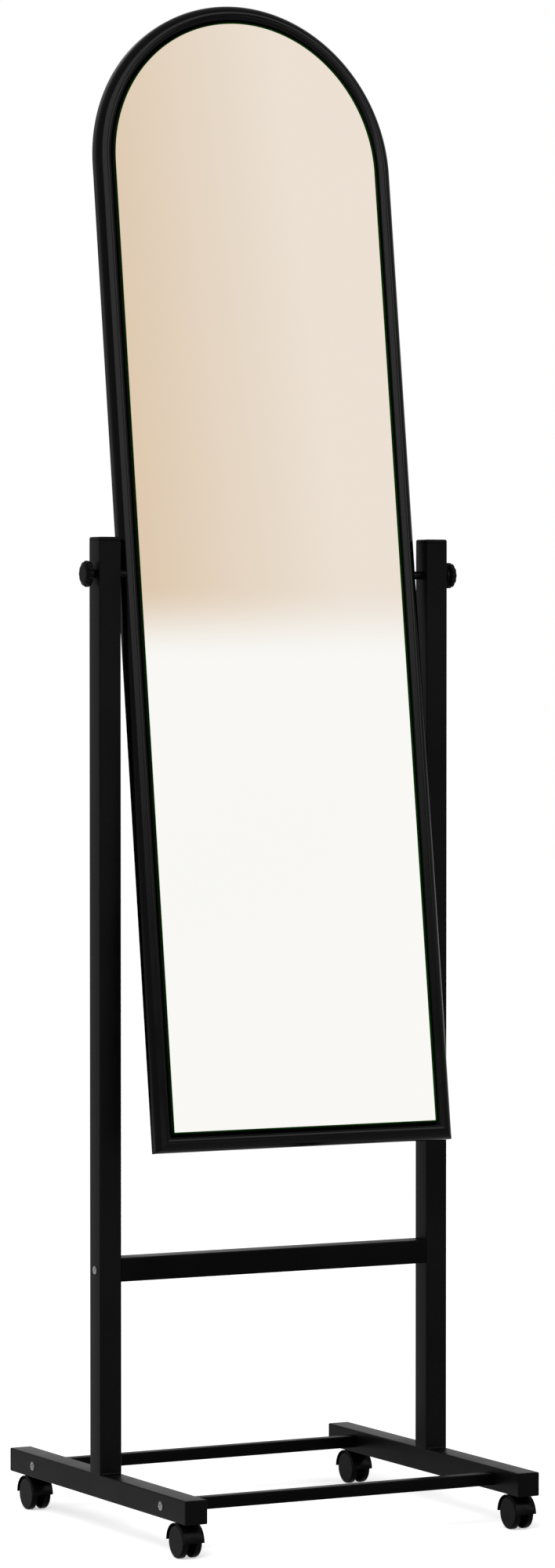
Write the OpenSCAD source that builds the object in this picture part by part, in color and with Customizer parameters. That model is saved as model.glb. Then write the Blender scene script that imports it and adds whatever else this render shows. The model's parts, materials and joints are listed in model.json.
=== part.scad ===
// Rolling floor mirror: an arched mirror that tilts between two posts, on a base with four casters.
// Millimetres. +Z is up and -Y is the front. The origin is on the floor, straight below the tilt axis.

/* [Stand] */
// Width over the outer faces of the two feet and posts
stand_w = 416; // [400:1:520]
// Length of each foot, front to back
foot_len = 416; // [400:1:520]
// Side of the square tube of the feet, the posts and the middle bar
tube = 25; // [24:0.5:30]
// Wall of that tube
tube_wall = 1.2; // [1:0.1:2]
// Outer corner radius of that tube
tube_corner = 1.5; // [1:0.1:2]
// Length of a post above its foot, without its cap
post_len = 975; // [900:1:1100]
// Height of the post's cap above its tube
post_cap_h = 4; // [2.5:0.5:8]
// Radius of the post cap's round top edges
post_cap_edge = 2; // [0.5:0.1:2.4]
// Distance from the top of the post's tube down to the tilt axis
pivot_drop = 34.6; // [25:0.1:60]
// Height of the middle bar's underside above the feet
mid_bar_rise = 201; // [100:1:300]
// Side of the square tube of the two base bars
base_bar = 12.7; // [12:0.1:19]
// Wall of the base bars
base_bar_wall = 1; // [0.8:0.1:1.5]
// Distance of each base bar's middle from the end of the foot
base_bar_inset = 56; // [46:1:120]
// Length of the fixing plug in the end of a bar
plug_len = 18; // [14:1:30]
// Thickness of the cap's face at each end of a foot
foot_cap_t = 2; // [1.5:0.5:4]
// Depth of a cap's stem inside its tube
cap_depth = 10; // [6:1:12]
// Wall of a cap's stem
cap_wall = 1.6; // [1.2:0.1:2.5]

/* [Screws] */
// Radius of the bar screws' shanks
screw_r = 2.5; // [2:0.1:3]
// Radius of the base bar screws' heads
base_head_r = 5; // [4:0.1:6]
// Radius of the middle bar screws' heads
mid_head_r = 4.4; // [4:0.1:6]
// Height of a screw's domed head
head_h = 2.2; // [1.5:0.1:3]
// Width across the flats of the hexagon socket in a head
socket_w = 3; // [2:0.5:4]
// Distance from a bar screw's tip to the inner end of its plug
screw_margin = 2; // [1:0.5:6]

/* [Mirror] */
// Space between the moulding's side and a post, which sets the mirror's width
side_gap = 6.8; // [5:0.1:15]
// Visible height of the glass, up to the top of its arch
glass_h = 1180; // [900:1:1200]
// Thickness of the glass
glass_t = 4; // [3:0.5:5]
// Height of the tilt axis above the glass's bottom edge
pivot_rise = 586; // [450:1:650]
// Width of the half-round moulding
moulding_w = 19.6; // [19:0.1:21]
// Depth of the moulding, front to back
moulding_d = 16.4; // [16:0.1:20]
// Wall of the moulding
moulding_wall = 1.5; // [1.2:0.1:2]
// Width of the rebate behind the back panel
rebate_w = 8; // [6:0.5:12]
// Depth of the tilt axis behind the moulding's crest
axis_depth = 5.6; // [5.4:0.1:6]
// Depth of the glass's face below the moulding's crest
glass_sink = 0.2; // [0:0.1:1]
// Overlap of the glass over the moulding's inner side
edge_lap = 0.4; // [0:0.1:1]
// Thickness of the back panel
panel_t = 3; // [2:0.5:4]
// Backward tilt of the mirror as it stands
mirror_tilt = 7.6; // [0:0.1:20]

/* [Corner brackets] */
// Length of each arm of a corner bracket
bracket_arm = 45; // [35:1:70]
// Width of a bracket's arm
bracket_w = 13; // [10:0.5:14]
// Thickness of a bracket
bracket_t = 3; // [2:0.5:3.5]
// Shank radius of the bracket and panel screws
small_screw_r = 1.6; // [1.2:0.1:2]
// Head radius of those screws
small_head_r = 3; // [2.5:0.1:3.5]
// Head height of those screws
small_head_h = 1.2; // [0.8:0.1:1.6]
// Width across the flats of their hexagon sockets
small_socket_w = 1.8; // [1.2:0.1:2.2]
// Thickness of panel left in front of a panel screw's tip
screw_cover = 1.2; // [0.8:0.1:1.6]

/* [Pivots and knobs] */
// Radius of the threaded studs of the knobs
stud_r = 3; // [2.5:0.1:3.2]
// Outer radius of the pivot inserts
insert_r = 4.35; // [4.2:0.05:4.4]
// Distance of an insert's step outward from the moulding's middle line
insert_step = 4; // [3:0.1:5]
// Radius of an insert's sleeve inside the moulding
insert_sleeve_r = 3.6; // [3.5:0.05:3.7]
// Length of an insert's sleeve inside the moulding
insert_sleeve_len = 6; // [5:0.1:7]
// Radius of the collar between a post and its knob
collar_r = 4.3; // [4:0.1:6]
// Length of that collar
collar_len = 3.1; // [2:0.1:6]
// Largest radius of a knob's head
knob_r = 14.1; // [12:0.1:18]
// Radius of a knob's flat outer face
knob_face_r = 9.4; // [7:0.1:10]
// Radius of a knob's hub next to the collar
knob_hub_r = 7.7; // [6.5:0.1:8]
// Radius of a knob's hub below its head
knob_neck_r = 8.5; // [8:0.1:9.5]
// Length of a knob's hub
knob_hub_len = 5; // [3:0.5:10]
// Thickness of a knob's head
knob_head_t = 5.3; // [5.3:0.1:9]
// Height of the cone behind a knob's rim
knob_back_h = 1.6; // [0.5:0.1:2]
// Width of the cone behind a knob's rim
knob_back_w = 3; // [1:0.1:4]
// Height of the bevels in front of a knob's rim
knob_front_h = 2.4; // [1.8:0.1:3]
// Width and height of the steeper of those two bevels
knob_edge = 1; // [0.5:0.1:1.4]
// Number of finger hollows around a knob
knob_flutes = 12; // [6:1:16]
// Radius of a finger hollow
flute_r = 1.7; // [1.2:0.1:2.5]
// Depth of a finger hollow
flute_depth = 1.1; // [0.5:0.1:1.5]
// Thickness of a knob's face over the end of its stud
stud_cover = 3; // [2:0.5:4]

/* [Casters] */
// Diameter of a caster wheel
wheel_d = 34.5; // [30:0.5:45]
// Width of one wheel
wheel_w = 6.2; // [5:0.1:8]
// Free space between a caster's two wheels
wheel_gap = 9.6; // [9.2:0.1:12]
// Radius of the rounded rim of a wheel
wheel_round = 1.3; // [0.8:0.1:1.8]
// Wall of a wheel's outer disc
wheel_disc_t = 2.2; // [1.8:0.1:2.6]
// Thickness of a wheel's tyre ring
wheel_rim_t = 3; // [2:0.1:4]
// Space between a wheel and the hood above it
hood_gap = 0.7; // [0.6:0.1:1.5]
// Wall of the hood
hood_wall = 1.2; // [1:0.1:2]
// How far the hood stands out past the wheels' outer faces, each side
hood_lip = 0.8; // [0.4:0.1:1.5]
// Extra reach of the hood past the wheels, front and back
hood_spread = 1.3; // [1:0.1:2.5]
// Radius of the axle
axle_r = 2; // [1.5:0.1:2.2]
// Thickness of a wheel's disc over the end of the axle
axle_cover = 0.7; // [0.5:0.1:1]
// Wall of a wheel's hub around the axle
wheel_hub_wall = 2.4; // [1.5:0.1:4]
// Wall of the hood's boss around the axle
boss_wall = 2.2; // [1.5:0.1:5]
// Space between the hood's web and each wheel
web_play = 0.4; // [0.3:0.1:1]
// Distance of a caster's stem from the end of the foot
caster_inset = 30.4; // [24:0.2:36]
// Distance of the wheel axle from the stem's axis
caster_trail = 5.5; // [5.3:0.1:7]
// Radius of the stem's bearing pin
stem_pin_r = 3; // [2.5:0.1:3]
// Length of the stem's bearing pin
stem_pin_len = 15; // [10:0.5:15.5]
// Radius of the stem's thread
stem_r = 4; // [3.5:0.1:4.5]
// Radius of the stem's flange
stem_flange_r = 6; // [5:0.1:6.5]
// Thickness of the stem's flange
stem_flange_t = 0.6; // [0.5:0.1:1]
// Height of the threaded socket inside the foot
socket_h = 12; // [8:0.5:16]
// Radius of the threaded socket
socket_r = 7; // [6:0.5:8]

/* [Fits] */
// Radial play of a turning pin in its bore
running_fit = 0.05; // [0.02:0.01:0.1]
// Radial play of a part that is pressed or screwed in
tight_fit = 0.02; // [0.01:0.01:0.05]
// Play between turning faces
face_gap = 0.3; // [0.2:0.05:0.4]
// Space past the end of a pin in a blind bore
end_gap = 0.4; // [0.2:0.1:0.6]
// Radial play of a screw in its passing hole
screw_play = 0.25; // [0.1:0.05:0.5]

/* [Hidden] */
$fn = 48;

LEFT = -1;
RIGHT = 1;
FRONT = -1;
REAR = 1;
OUTER = 1;
INNER = -1;

coat = [0.06, 0.06, 0.065];
plastic = [0.09, 0.09, 0.095];
zinc = [0.72, 0.73, 0.74];
silver = [0.82, 0.85, 0.87];
board = [0.10, 0.09, 0.08];

// Stand: levels and places
wheel_r = wheel_d/2;
hood_r = wheel_r + hood_gap + hood_wall;
foot_z = wheel_d + hood_gap + hood_wall + stem_flange_t;
foot_top = foot_z + tube;
foot_mid = foot_z + tube/2;
post_top = foot_top + post_len;
pivot_z = post_top - pivot_drop;
mid_bar_mid = foot_top + mid_bar_rise + tube/2;
tube_x = stand_w/2 - tube/2;
bar_len = stand_w - 2*tube;
foot_tube_len = foot_len - 2*foot_cap_t;
base_bar_y = foot_len/2 - base_bar_inset;
caster_y = foot_len/2 - caster_inset;
plug_seat = 0.1;
socket_share = 0.6;

// Mirror: places outward from the middle and h forward from the tilt axis
moulding_r = moulding_w/2;
line_reach = moulding_r - edge_lap;
outer_half = stand_w/2 - tube - side_gap;
line_half = outer_half - moulding_r;
glass_half = line_half - line_reach;
glass_bottom = -pivot_rise;
arch_v = glass_h - pivot_rise - glass_half;
line_bottom = glass_bottom - line_reach;
outer_bottom = line_bottom - moulding_r;
crest_h = axis_depth;
round_h = crest_h - moulding_r;
back_h = crest_h - moulding_d;
glass_back_h = crest_h - glass_sink - glass_t;
rebate_h = back_h + moulding_wall;
core_back_h = rebate_h + panel_t;
core_t = glass_back_h - core_back_h;
panel_half = line_half - moulding_r - face_gap;
panel_bottom = line_bottom + moulding_r + face_gap;
bracket_back_h = rebate_h + tight_fit;
mitre_reach = 30;

// Pivots, from the middle outward
insert_in_x = line_half + insert_step;
stud_tip_x = insert_in_x - insert_sleeve_len;
insert_out_x = stand_w/2 - tube - face_gap;
stud_hole_r = stud_r + screw_play;
knob_x = stand_w/2 + collar_len;
knob_h = knob_hub_len + knob_head_t;

// Casters: sizes about the middle of the axle
axle_z = wheel_r;
web_w = wheel_gap - 2*web_play;
wheels_half = wheel_gap/2 + wheel_w;
hood_w = 2*(wheels_half + hood_lip);
hood_in_r = wheel_r + hood_gap;
hood_seat_z = foot_z - stem_flange_t - running_fit - axle_z;
axle_depth = wheel_w - axle_cover;
axle_len = 2*(wheel_gap/2 + axle_depth - face_gap/2);
boss_r = axle_r + boss_wall;

// A square with its four corners rounded, exactly to size
module rounded_square(side, r) {
    square([side, side - 2*r], center = true);
    square([side - 2*r, side], center = true);
    for (sx = [-1, 1])
        for (sy = [-1, 1])
            translate([sx*(side/2 - r), sy*(side/2 - r)])
                circle(r, $fn = 24);
}

// Square tube along Z, centred on its own length
module square_tube(len, side, wall, corner) {
    linear_extrude(len, center = true)
        difference() {
            rounded_square(side, corner);
            square(side - 2*wall, center = true);
        }
}

// Moves and turns its children so that +Z points away from the middle on the given side
module outward(side, x, y, z) {
    translate([side*x, y, z])
        rotate([0, side*90, 0])
            children();
}

// Screw along Z with its domed head above z = 0, a hexagon socket in it, and its shank below
module screw(shank_r, len, head_r, height, socket) {
    dome_r = (head_r*head_r + height*height)/(2*height);
    difference() {
        intersection() {
            cylinder(h = height, r = head_r);
            translate([0, 0, height - dome_r])
                sphere(dome_r, $fn = 96);
        }
        translate([0, 0, height*(1 - socket_share)])
            cylinder(h = height, d = socket/cos(30), $fn = 6);
    }
    translate([0, 0, -len])
        cylinder(h = len + height*(1 - socket_share)/2, r = shank_r);
}

// Plug along Z that closes a square tube's end, with its face at z = 0, and takes a screw
module plug(side, len, hole_r) {
    difference() {
        translate([0, 0, -len/2])
            cube([side, side, len], center = true);
        translate([0, 0, -len - 1])
            cylinder(h = len + 2, r = hole_r);
    }
}

// Foot: square tube from front to back, open at both ends, drilled for screws and caster stems
module foot(side) {
    color(coat)
    difference() {
        translate([side*tube_x, 0, foot_mid])
            rotate([90, 0, 0])
                square_tube(foot_tube_len, tube, tube_wall, tube_corner);
        for (end = [FRONT, REAR]) {
            outward(side, tube_x, end*base_bar_y, foot_mid)
                cylinder(h = tube + 2, r = screw_r + screw_play, center = true);
            translate([side*tube_x, end*caster_y, foot_z - 1])
                cylinder(h = tube/2, r = stem_r + screw_play);
        }
    }
}

// Cap that closes one end of a foot: a face flush with the tube and a hollow stem inside it
module foot_cap(side, end) {
    stem = tube - 2*tube_wall - 2*plug_seat;
    color(plastic)
    translate([side*tube_x, end*foot_tube_len/2, foot_mid])
        rotate([-end*90, 0, 0]) {
            linear_extrude(foot_cap_t)
                rounded_square(tube, tube_corner);
            translate([0, 0, -cap_depth])
                linear_extrude(cap_depth)
                    difference() {
                        square(stem, center = true);
                        square(stem - 2*cap_wall, center = true);
                    }
        }
}

// Post: square tube that stands on the middle of the foot, drilled for the stud and the bar screw
module post(side) {
    color(coat)
    difference() {
        translate([side*tube_x, 0, foot_top + post_len/2])
            square_tube(post_len, tube, tube_wall, tube_corner);
        outward(side, tube_x, 0, pivot_z)
            cylinder(h = tube + 2, r = stud_hole_r, center = true);
        outward(side, tube_x, 0, mid_bar_mid)
            cylinder(h = tube + 2, r = screw_r + screw_play, center = true);
    }
}

// Post cap: a rounded button on top, with a hollow stem inside the tube
module post_cap(side) {
    stem = tube - 2*tube_wall - 2*plug_seat;
    color(plastic)
    translate([side*tube_x, 0, post_top]) {
        intersection() {
            linear_extrude(post_cap_h)
                rounded_square(tube, tube_corner);
            rotate([90, 0, 0])
                linear_extrude(tube + 2, center = true)
                    cap_outline();
            rotate([90, 0, 90])
                linear_extrude(tube + 2, center = true)
                    cap_outline();
        }
        translate([0, 0, -cap_depth])
            linear_extrude(cap_depth)
                difference() {
                    square(stem, center = true);
                    square(stem - 2*cap_wall, center = true);
                }
    }
}

// Side view of the button: upright sides with a round edge along each top corner
module cap_outline() {
    translate([-tube/2, -1])
        square([tube, post_cap_h - post_cap_edge + 1]);
    translate([-tube/2 + post_cap_edge, -1])
        square([tube - 2*post_cap_edge, post_cap_h + 1]);
    for (s = [-1, 1])
        translate([s*(tube/2 - post_cap_edge), post_cap_h - post_cap_edge])
            circle(post_cap_edge);
}

// Middle bar between the posts, open at both ends
module mid_bar() {
    color(coat)
    translate([0, 0, mid_bar_mid])
        rotate([0, 90, 0])
            square_tube(bar_len, tube, tube_wall, tube_corner);
}

// Fixing plugs in the two ends of the middle bar
module mid_bar_plugs() {
    color(plastic)
    for (side = [LEFT, RIGHT])
        outward(side, bar_len/2, 0, mid_bar_mid)
            plug(tube - 2*tube_wall - 2*plug_seat, plug_len, screw_r + tight_fit);
}

// Screws from the posts' outer faces into the middle bar
module mid_bar_screws() {
    color(zinc)
    for (side = [LEFT, RIGHT])
        outward(side, stand_w/2, 0, mid_bar_mid)
            screw(screw_r, tube + plug_len - screw_margin, mid_head_r, head_h, socket_w);
}

// Base bar between the feet, at the given end
module base_bar_tube(end) {
    color(coat)
    translate([0, end*base_bar_y, foot_mid])
        rotate([0, 90, 0])
            square_tube(bar_len, base_bar, base_bar_wall, base_bar_wall);
}

// Fixing plugs in the four ends of the base bars
module base_bar_plugs() {
    color(plastic)
    for (side = [LEFT, RIGHT])
        for (end = [FRONT, REAR])
            outward(side, bar_len/2, end*base_bar_y, foot_mid)
                plug(base_bar - 2*base_bar_wall - 2*plug_seat, plug_len, screw_r + tight_fit);
}

// Screws from the feet's outer faces into the base bars
module base_bar_screws() {
    color(zinc)
    for (side = [LEFT, RIGHT])
        for (end = [FRONT, REAR])
            outward(side, stand_w/2, end*base_bar_y, foot_mid)
                screw(screw_r, tube + plug_len - screw_margin, base_head_r, head_h, socket_w);
}

// Threaded sockets for the caster stems, standing on the feet's lower walls
module stem_sockets() {
    color(zinc)
    for (side = [LEFT, RIGHT])
        for (end = [FRONT, REAR])
            translate([side*tube_x, end*caster_y, foot_z + tube_wall])
                difference() {
                    cylinder(h = socket_h, r = socket_r);
                    translate([0, 0, -1])
                        cylinder(h = socket_h + 2, r = stem_r + tight_fit);
                }
}

// Puts its children, drawn about the tilt axis with the glass facing -Y, at the mirror's tilt
module on_mirror() {
    translate([0, 0, pivot_z])
        rotate([-mirror_tilt, 0, 0])
            children();
}

// Stands a flat outline of (across, up) on edge, from depth h forward by a thickness
module upright(h, thick) {
    translate([0, -h, 0])
        rotate([90, 0, 0])
            linear_extrude(thick)
                children();
}

// Arched outline with straight sides: a half circle on a rectangle
module arch_outline(half, bottom) {
    translate([0, arch_v])
        circle(half, $fn = 180);
    translate([-half, bottom])
        square([2*half, arch_v - bottom]);
}

// Section of the moulding: x outward from its middle line, y forward. A half-round hollow bar
// with a flat rebate that reaches inward behind the back panel
module moulding() {
    inner_r = moulding_r - moulding_wall;
    difference() {
        union() {
            translate([0, round_h])
                circle(moulding_r, $fn = 96);
            translate([-moulding_r, back_h])
                square([moulding_w, round_h - back_h]);
            translate([-moulding_r - rebate_w, back_h])
                square([rebate_w + moulding_r, moulding_wall]);
        }
        translate([0, round_h])
            circle(inner_r, $fn = 96);
        translate([-inner_r, rebate_h])
            square([2*inner_r, round_h - rebate_h]);
    }
}

// Region of the bottom rail between the two mitre cuts, seen from the front
module mitre_region(reach) {
    polygon([
        [-outer_half - reach, outer_bottom - reach],
        [outer_half + reach, outer_bottom - reach],
        [outer_half - reach, outer_bottom + reach],
        [-outer_half + reach, outer_bottom + reach]]);
}

// Places of the screws that hold the back panel to the rebate, as [across, up]
rebate_mid = moulding_r + rebate_w/2;
side_screw_v = [-0.78, -0.36, 0.06, 0.5];
arch_screw_angles = [30, 70, 110, 150];
panel_screw_places = concat(
    [for (s = [-1, 1]) for (f = side_screw_v) [s*(line_half - rebate_mid), f*pivot_rise]],
    [for (a = arch_screw_angles)
        [(line_half - rebate_mid)*cos(a), arch_v + (line_half - rebate_mid)*sin(a)]],
    [for (s = [-1, 1]) [s*line_half/2, line_bottom + rebate_mid]]);

// Places of the screws that hold the corner brackets
bracket_reach = bracket_arm - bracket_w;
corner_screw_places = [
    for (s = [-1, 1])
        for (p = [[bracket_reach, 0], [0, bracket_reach]])
            [s*(line_half - p[0]), line_bottom + p[1]]];

// Screw holes through the moulding's back wall at the given places
module back_holes(places, r) {
    for (p = places)
        translate([p[0], 0, p[1]])
            rotate([90, 0, 0])
                translate([0, 0, back_h - 1])
                    cylinder(h = moulding_wall + 2, r = r);
}

// The moulding bent into one hoop: two legs and the arch, mitred at the lower corners
module frame_hoop() {
    color(coat)
    on_mirror()
        difference() {
            union() {
                for (side = [LEFT, RIGHT])
                    translate([0, 0, outer_bottom])
                        linear_extrude(arch_v - outer_bottom)
                            scale([side, -1])
                                translate([line_half, 0])
                                    moulding();
                translate([0, 0, arch_v])
                    rotate([90, 0, 0])
                        rotate_extrude(angle = 180, $fn = 180)
                            translate([line_half, 0])
                                moulding();
            }
            upright(-mitre_reach, 2*mitre_reach)
                mitre_region(mitre_reach);
            for (side = [LEFT, RIGHT]) {
                outward(side, insert_in_x, 0, 0)
                    cylinder(h = outer_half, r = insert_r + tight_fit);
                outward(side, stud_tip_x - face_gap, 0, 0)
                    cylinder(h = insert_sleeve_len + 1, r = insert_sleeve_r + face_gap);
            }
            back_holes(panel_screw_places, small_screw_r + screw_play);
            back_holes(corner_screw_places, small_screw_r + screw_play);
        }
}

// The moulding's bottom rail, mitred at both ends
module frame_bottom() {
    color(coat)
    on_mirror()
        difference() {
            intersection() {
                translate([-outer_half - 1, 0, line_bottom])
                    rotate([90, 0, 90])
                        linear_extrude(2*outer_half + 2)
                            mirror([1, 1])
                                moulding();
                upright(-mitre_reach, 2*mitre_reach)
                    mitre_region(mitre_reach);
            }
            back_holes(panel_screw_places, small_screw_r + screw_play);
            back_holes(corner_screw_places, small_screw_r + screw_play);
        }
}

// Mirror glass, lying in the hoop with its face just below the moulding's crest
module glass() {
    color(silver)
    on_mirror()
        upright(glass_back_h, glass_t)
            arch_outline(glass_half, glass_bottom);
}

// Stiff core board between the glass and the back panel
module core() {
    color(board)
    on_mirror()
        upright(core_back_h, core_t)
            arch_outline(panel_half, panel_bottom);
}

// Back panel, screwed to the front of the rebate
module back_panel() {
    color(board)
    on_mirror()
        difference() {
            upright(rebate_h, panel_t)
                arch_outline(panel_half, panel_bottom);
            for (p = panel_screw_places)
                translate([p[0], 0, p[1]])
                    rotate([90, 0, 0])
                        translate([0, 0, rebate_h - 1])
                            cylinder(h = panel_t, r = small_screw_r + tight_fit);
        }
}

// L-shaped brackets inside the hollow moulding at the two mitred corners
module corner_brackets() {
    color(zinc)
    on_mirror()
        difference() {
            for (side = [LEFT, RIGHT])
                upright(bracket_back_h, bracket_t)
                    scale([side, 1])
                        translate([line_half, line_bottom]) {
                            translate([-bracket_arm + bracket_w/2, -bracket_w/2])
                                square([bracket_arm, bracket_w]);
                            translate([-bracket_w/2, -bracket_w/2])
                                square([bracket_w, bracket_arm]);
                        }
            for (p = corner_screw_places)
                translate([p[0], 0, p[1]])
                    rotate([90, 0, 0])
                        translate([0, 0, bracket_back_h - 1])
                            cylinder(h = bracket_t + 2, r = small_screw_r + tight_fit);
        }
}

// Small screws from behind, at the given places and of the given length
module small_screws(places, len) {
    color(zinc)
    on_mirror()
        for (p = places)
            translate([p[0], -back_h, p[1]])
                rotate([-90, 0, 0])
                    screw(small_screw_r, len, small_head_r, small_head_h, small_socket_w);
}

// Screws that hold the corner brackets
module corner_screws() {
    small_screws(corner_screw_places, moulding_wall + bracket_t);
}

// Screws that hold the back panel
module panel_screws() {
    small_screws(panel_screw_places, moulding_wall + panel_t - screw_cover);
}

// Pivot insert: a turned sleeve in the moulding's side that stands out toward the post
module pivot_insert(side) {
    color(zinc)
    on_mirror()
        outward(side, insert_in_x, 0, 0)
            difference() {
                union() {
                    translate([0, 0, tight_fit])
                        cylinder(h = insert_out_x - insert_in_x - tight_fit, r = insert_r);
                    translate([0, 0, -insert_sleeve_len])
                        cylinder(h = insert_sleeve_len + 1, r = insert_sleeve_r);
                }
                translate([0, 0, -insert_sleeve_len - 1])
                    cylinder(h = outer_half, r = stud_r + running_fit);
            }
}

// Loose collar on the stud, between the post and the knob
module collar(side) {
    color(plastic)
    outward(side, stand_w/2, 0, pivot_z)
        difference() {
            cylinder(h = collar_len, r = collar_r);
            translate([0, 0, -1])
                cylinder(h = collar_len + 2, r = stud_r + running_fit);
        }
}

// Clamping knob: a tapered hub and a fluted head with bevelled edges, moulded round the stud's end
module knob(side) {
    color(plastic)
    outward(side, knob_x, 0, pivot_z)
        difference() {
            union() {
                cylinder(h = knob_hub_len + 0.5, r1 = knob_hub_r, r2 = knob_neck_r);
                intersection() {
                    rotate_extrude($fn = 96)
                        polygon([
                            [0, knob_hub_len],
                            [knob_r - knob_back_w, knob_hub_len],
                            [knob_r, knob_hub_len + knob_back_h],
                            [knob_r, knob_h - knob_front_h],
                            [knob_r - knob_edge, knob_h - knob_front_h + knob_edge],
                            [knob_face_r, knob_h],
                            [0, knob_h]]);
                    translate([0, 0, knob_hub_len - 1])
                        linear_extrude(knob_head_t + 2)
                            knob_outline();
                }
            }
            translate([0, 0, -1])
                cylinder(h = knob_h - stud_cover + 1 + end_gap, r = stud_r + tight_fit);
        }
}

// Fluted outline of a knob's head
module knob_outline() {
    difference() {
        circle(knob_r, $fn = 96);
        for (i = [0:knob_flutes - 1])
            rotate(i*360/knob_flutes)
                translate([knob_r + flute_r - flute_depth, 0])
                    circle(flute_r);
    }
}

// Threaded stud: held in the knob, through the collar and the post, into the pivot insert
module stud(side) {
    color(zinc)
    outward(side, stud_tip_x, 0, pivot_z)
        cylinder(h = knob_x + knob_h - stud_cover - stud_tip_x, r = stud_r);
}

// Puts its children, drawn about the middle of the axle, at one caster
module at_caster(side, end) {
    translate([side*tube_x, end*caster_y - caster_trail, axle_z])
        children();
}

// Caster stem: a thread in the foot's socket, a thin flange, and a bearing pin in the hood
module stem(side, end) {
    color(zinc)
    translate([side*tube_x, end*caster_y, foot_z]) {
        cylinder(h = tube_wall + socket_h, r = stem_r);
        translate([0, 0, -stem_flange_t])
            cylinder(h = stem_flange_t, r = stem_flange_r);
        translate([0, 0, -stem_flange_t - stem_pin_len])
            cylinder(h = stem_pin_len + stem_flange_t, r = stem_pin_r);
    }
}

// Upper half of a rounded outline, seen from the side, with the given radius
module hood_outline(r) {
    intersection() {
        union() {
            for (s = [-1, 1])
                translate([s*hood_spread, 0])
                    circle(r, $fn = 96);
            square([2*hood_spread, 2*r], center = true);
        }
        translate([-2*r, 0])
            square([4*r, 2*r]);
    }
}

// Caster hood: a half-round fender over both wheels, with a solid web between them that holds
// the axle and the stem's bearing
module hood(side, end) {
    color(plastic)
    at_caster(side, end)
        difference() {
            union() {
                rotate([90, 0, 90])
                    linear_extrude(hood_w, center = true)
                        difference() {
                            hood_outline(hood_r);
                            hood_outline(hood_in_r);
                        }
                rotate([90, 0, 90])
                    linear_extrude(web_w, center = true) {
                        hood_outline(hood_r);
                        circle(boss_r);
                    }
            }
            rotate([0, 90, 0])
                cylinder(h = web_w + 2, r = axle_r + tight_fit, center = true);
            translate([0, caster_trail, hood_seat_z - stem_pin_len - end_gap])
                cylinder(h = stem_pin_len + 5, r = stem_pin_r + running_fit);
            translate([0, caster_trail, hood_seat_z])
                cylinder(h = 5, r = stem_flange_r + 1);
        }
}

// Axle pin, held in the web, with a wheel on each end
module axle(side, end) {
    color(zinc)
    at_caster(side, end)
        rotate([0, 90, 0])
            cylinder(h = axle_len, r = axle_r, center = true);
}

// Caster wheel: a disc with a rounded rim, hollow on the inner side, with a blind hub.
// place is OUTER for the wheel on the stand's outer side
module wheel(side, end, place) {
    color(plastic)
    at_caster(side, end)
        outward(side*place, wheel_gap/2, 0, 0)
            rotate_extrude($fn = 96)
                wheel_section();
}

// Half section of a wheel: x is the radius, y runs from the inner side to the outer face
module wheel_section() {
    hub_r = axle_r + wheel_hub_wall;
    bore_r = axle_r + running_fit;
    difference() {
        union() {
            square([wheel_r - wheel_round, wheel_w]);
            square([wheel_r, wheel_w - wheel_round]);
            translate([wheel_r - wheel_round, wheel_w - wheel_round])
                circle(wheel_round, $fn = 32);
        }
        translate([hub_r, -1])
            square([wheel_r - wheel_rim_t - hub_r, wheel_w - wheel_disc_t + 1]);
        translate([-1, -1])
            square([bore_r + 1, axle_depth + 1]);
    }
}

foot(LEFT);  // foot_left
foot(RIGHT);  // foot_right
foot_cap(LEFT, FRONT);  // foot_cap_front_left
foot_cap(RIGHT, FRONT);  // foot_cap_front_right
foot_cap(LEFT, REAR);  // foot_cap_rear_left
foot_cap(RIGHT, REAR);  // foot_cap_rear_right
post(LEFT);  // post_left
post(RIGHT);  // post_right
post_cap(LEFT);  // post_cap_left
post_cap(RIGHT);  // post_cap_right
mid_bar();
mid_bar_plugs();
mid_bar_screws();
base_bar_tube(FRONT);  // base_bar_front
base_bar_tube(REAR);  // base_bar_rear
base_bar_plugs();
base_bar_screws();
stem_sockets();
frame_hoop();
frame_bottom();
glass();
core();
back_panel();
corner_brackets();
corner_screws();
panel_screws();
pivot_insert(LEFT);  // pivot_insert_left
pivot_insert(RIGHT);  // pivot_insert_right
collar(LEFT);  // collar_left
collar(RIGHT);  // collar_right
knob(LEFT);  // knob_left
knob(RIGHT);  // knob_right
stud(LEFT);  // stud_left
stud(RIGHT);  // stud_right
stem(LEFT, FRONT);  // stem_front_left
stem(RIGHT, FRONT);  // stem_front_right
stem(LEFT, REAR);  // stem_rear_left
stem(RIGHT, REAR);  // stem_rear_right
hood(LEFT, FRONT);  // hood_front_left
hood(RIGHT, FRONT);  // hood_front_right
hood(LEFT, REAR);  // hood_rear_left
hood(RIGHT, REAR);  // hood_rear_right
axle(LEFT, FRONT);  // axle_front_left
axle(RIGHT, FRONT);  // axle_front_right
axle(LEFT, REAR);  // axle_rear_left
axle(RIGHT, REAR);  // axle_rear_right
wheel(LEFT, FRONT, OUTER);  // wheel_front_left_outer
wheel(LEFT, FRONT, INNER);  // wheel_front_left_inner
wheel(RIGHT, FRONT, OUTER);  // wheel_front_right_outer
wheel(RIGHT, FRONT, INNER);  // wheel_front_right_inner
wheel(LEFT, REAR, OUTER);  // wheel_rear_left_outer
wheel(LEFT, REAR, INNER);  // wheel_rear_left_inner
wheel(RIGHT, REAR, OUTER);  // wheel_rear_right_outer
wheel(RIGHT, REAR, INNER);  // wheel_rear_right_inner
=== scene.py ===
import json
import math

import bmesh
import bpy
from mathutils import Matrix, Vector


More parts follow.
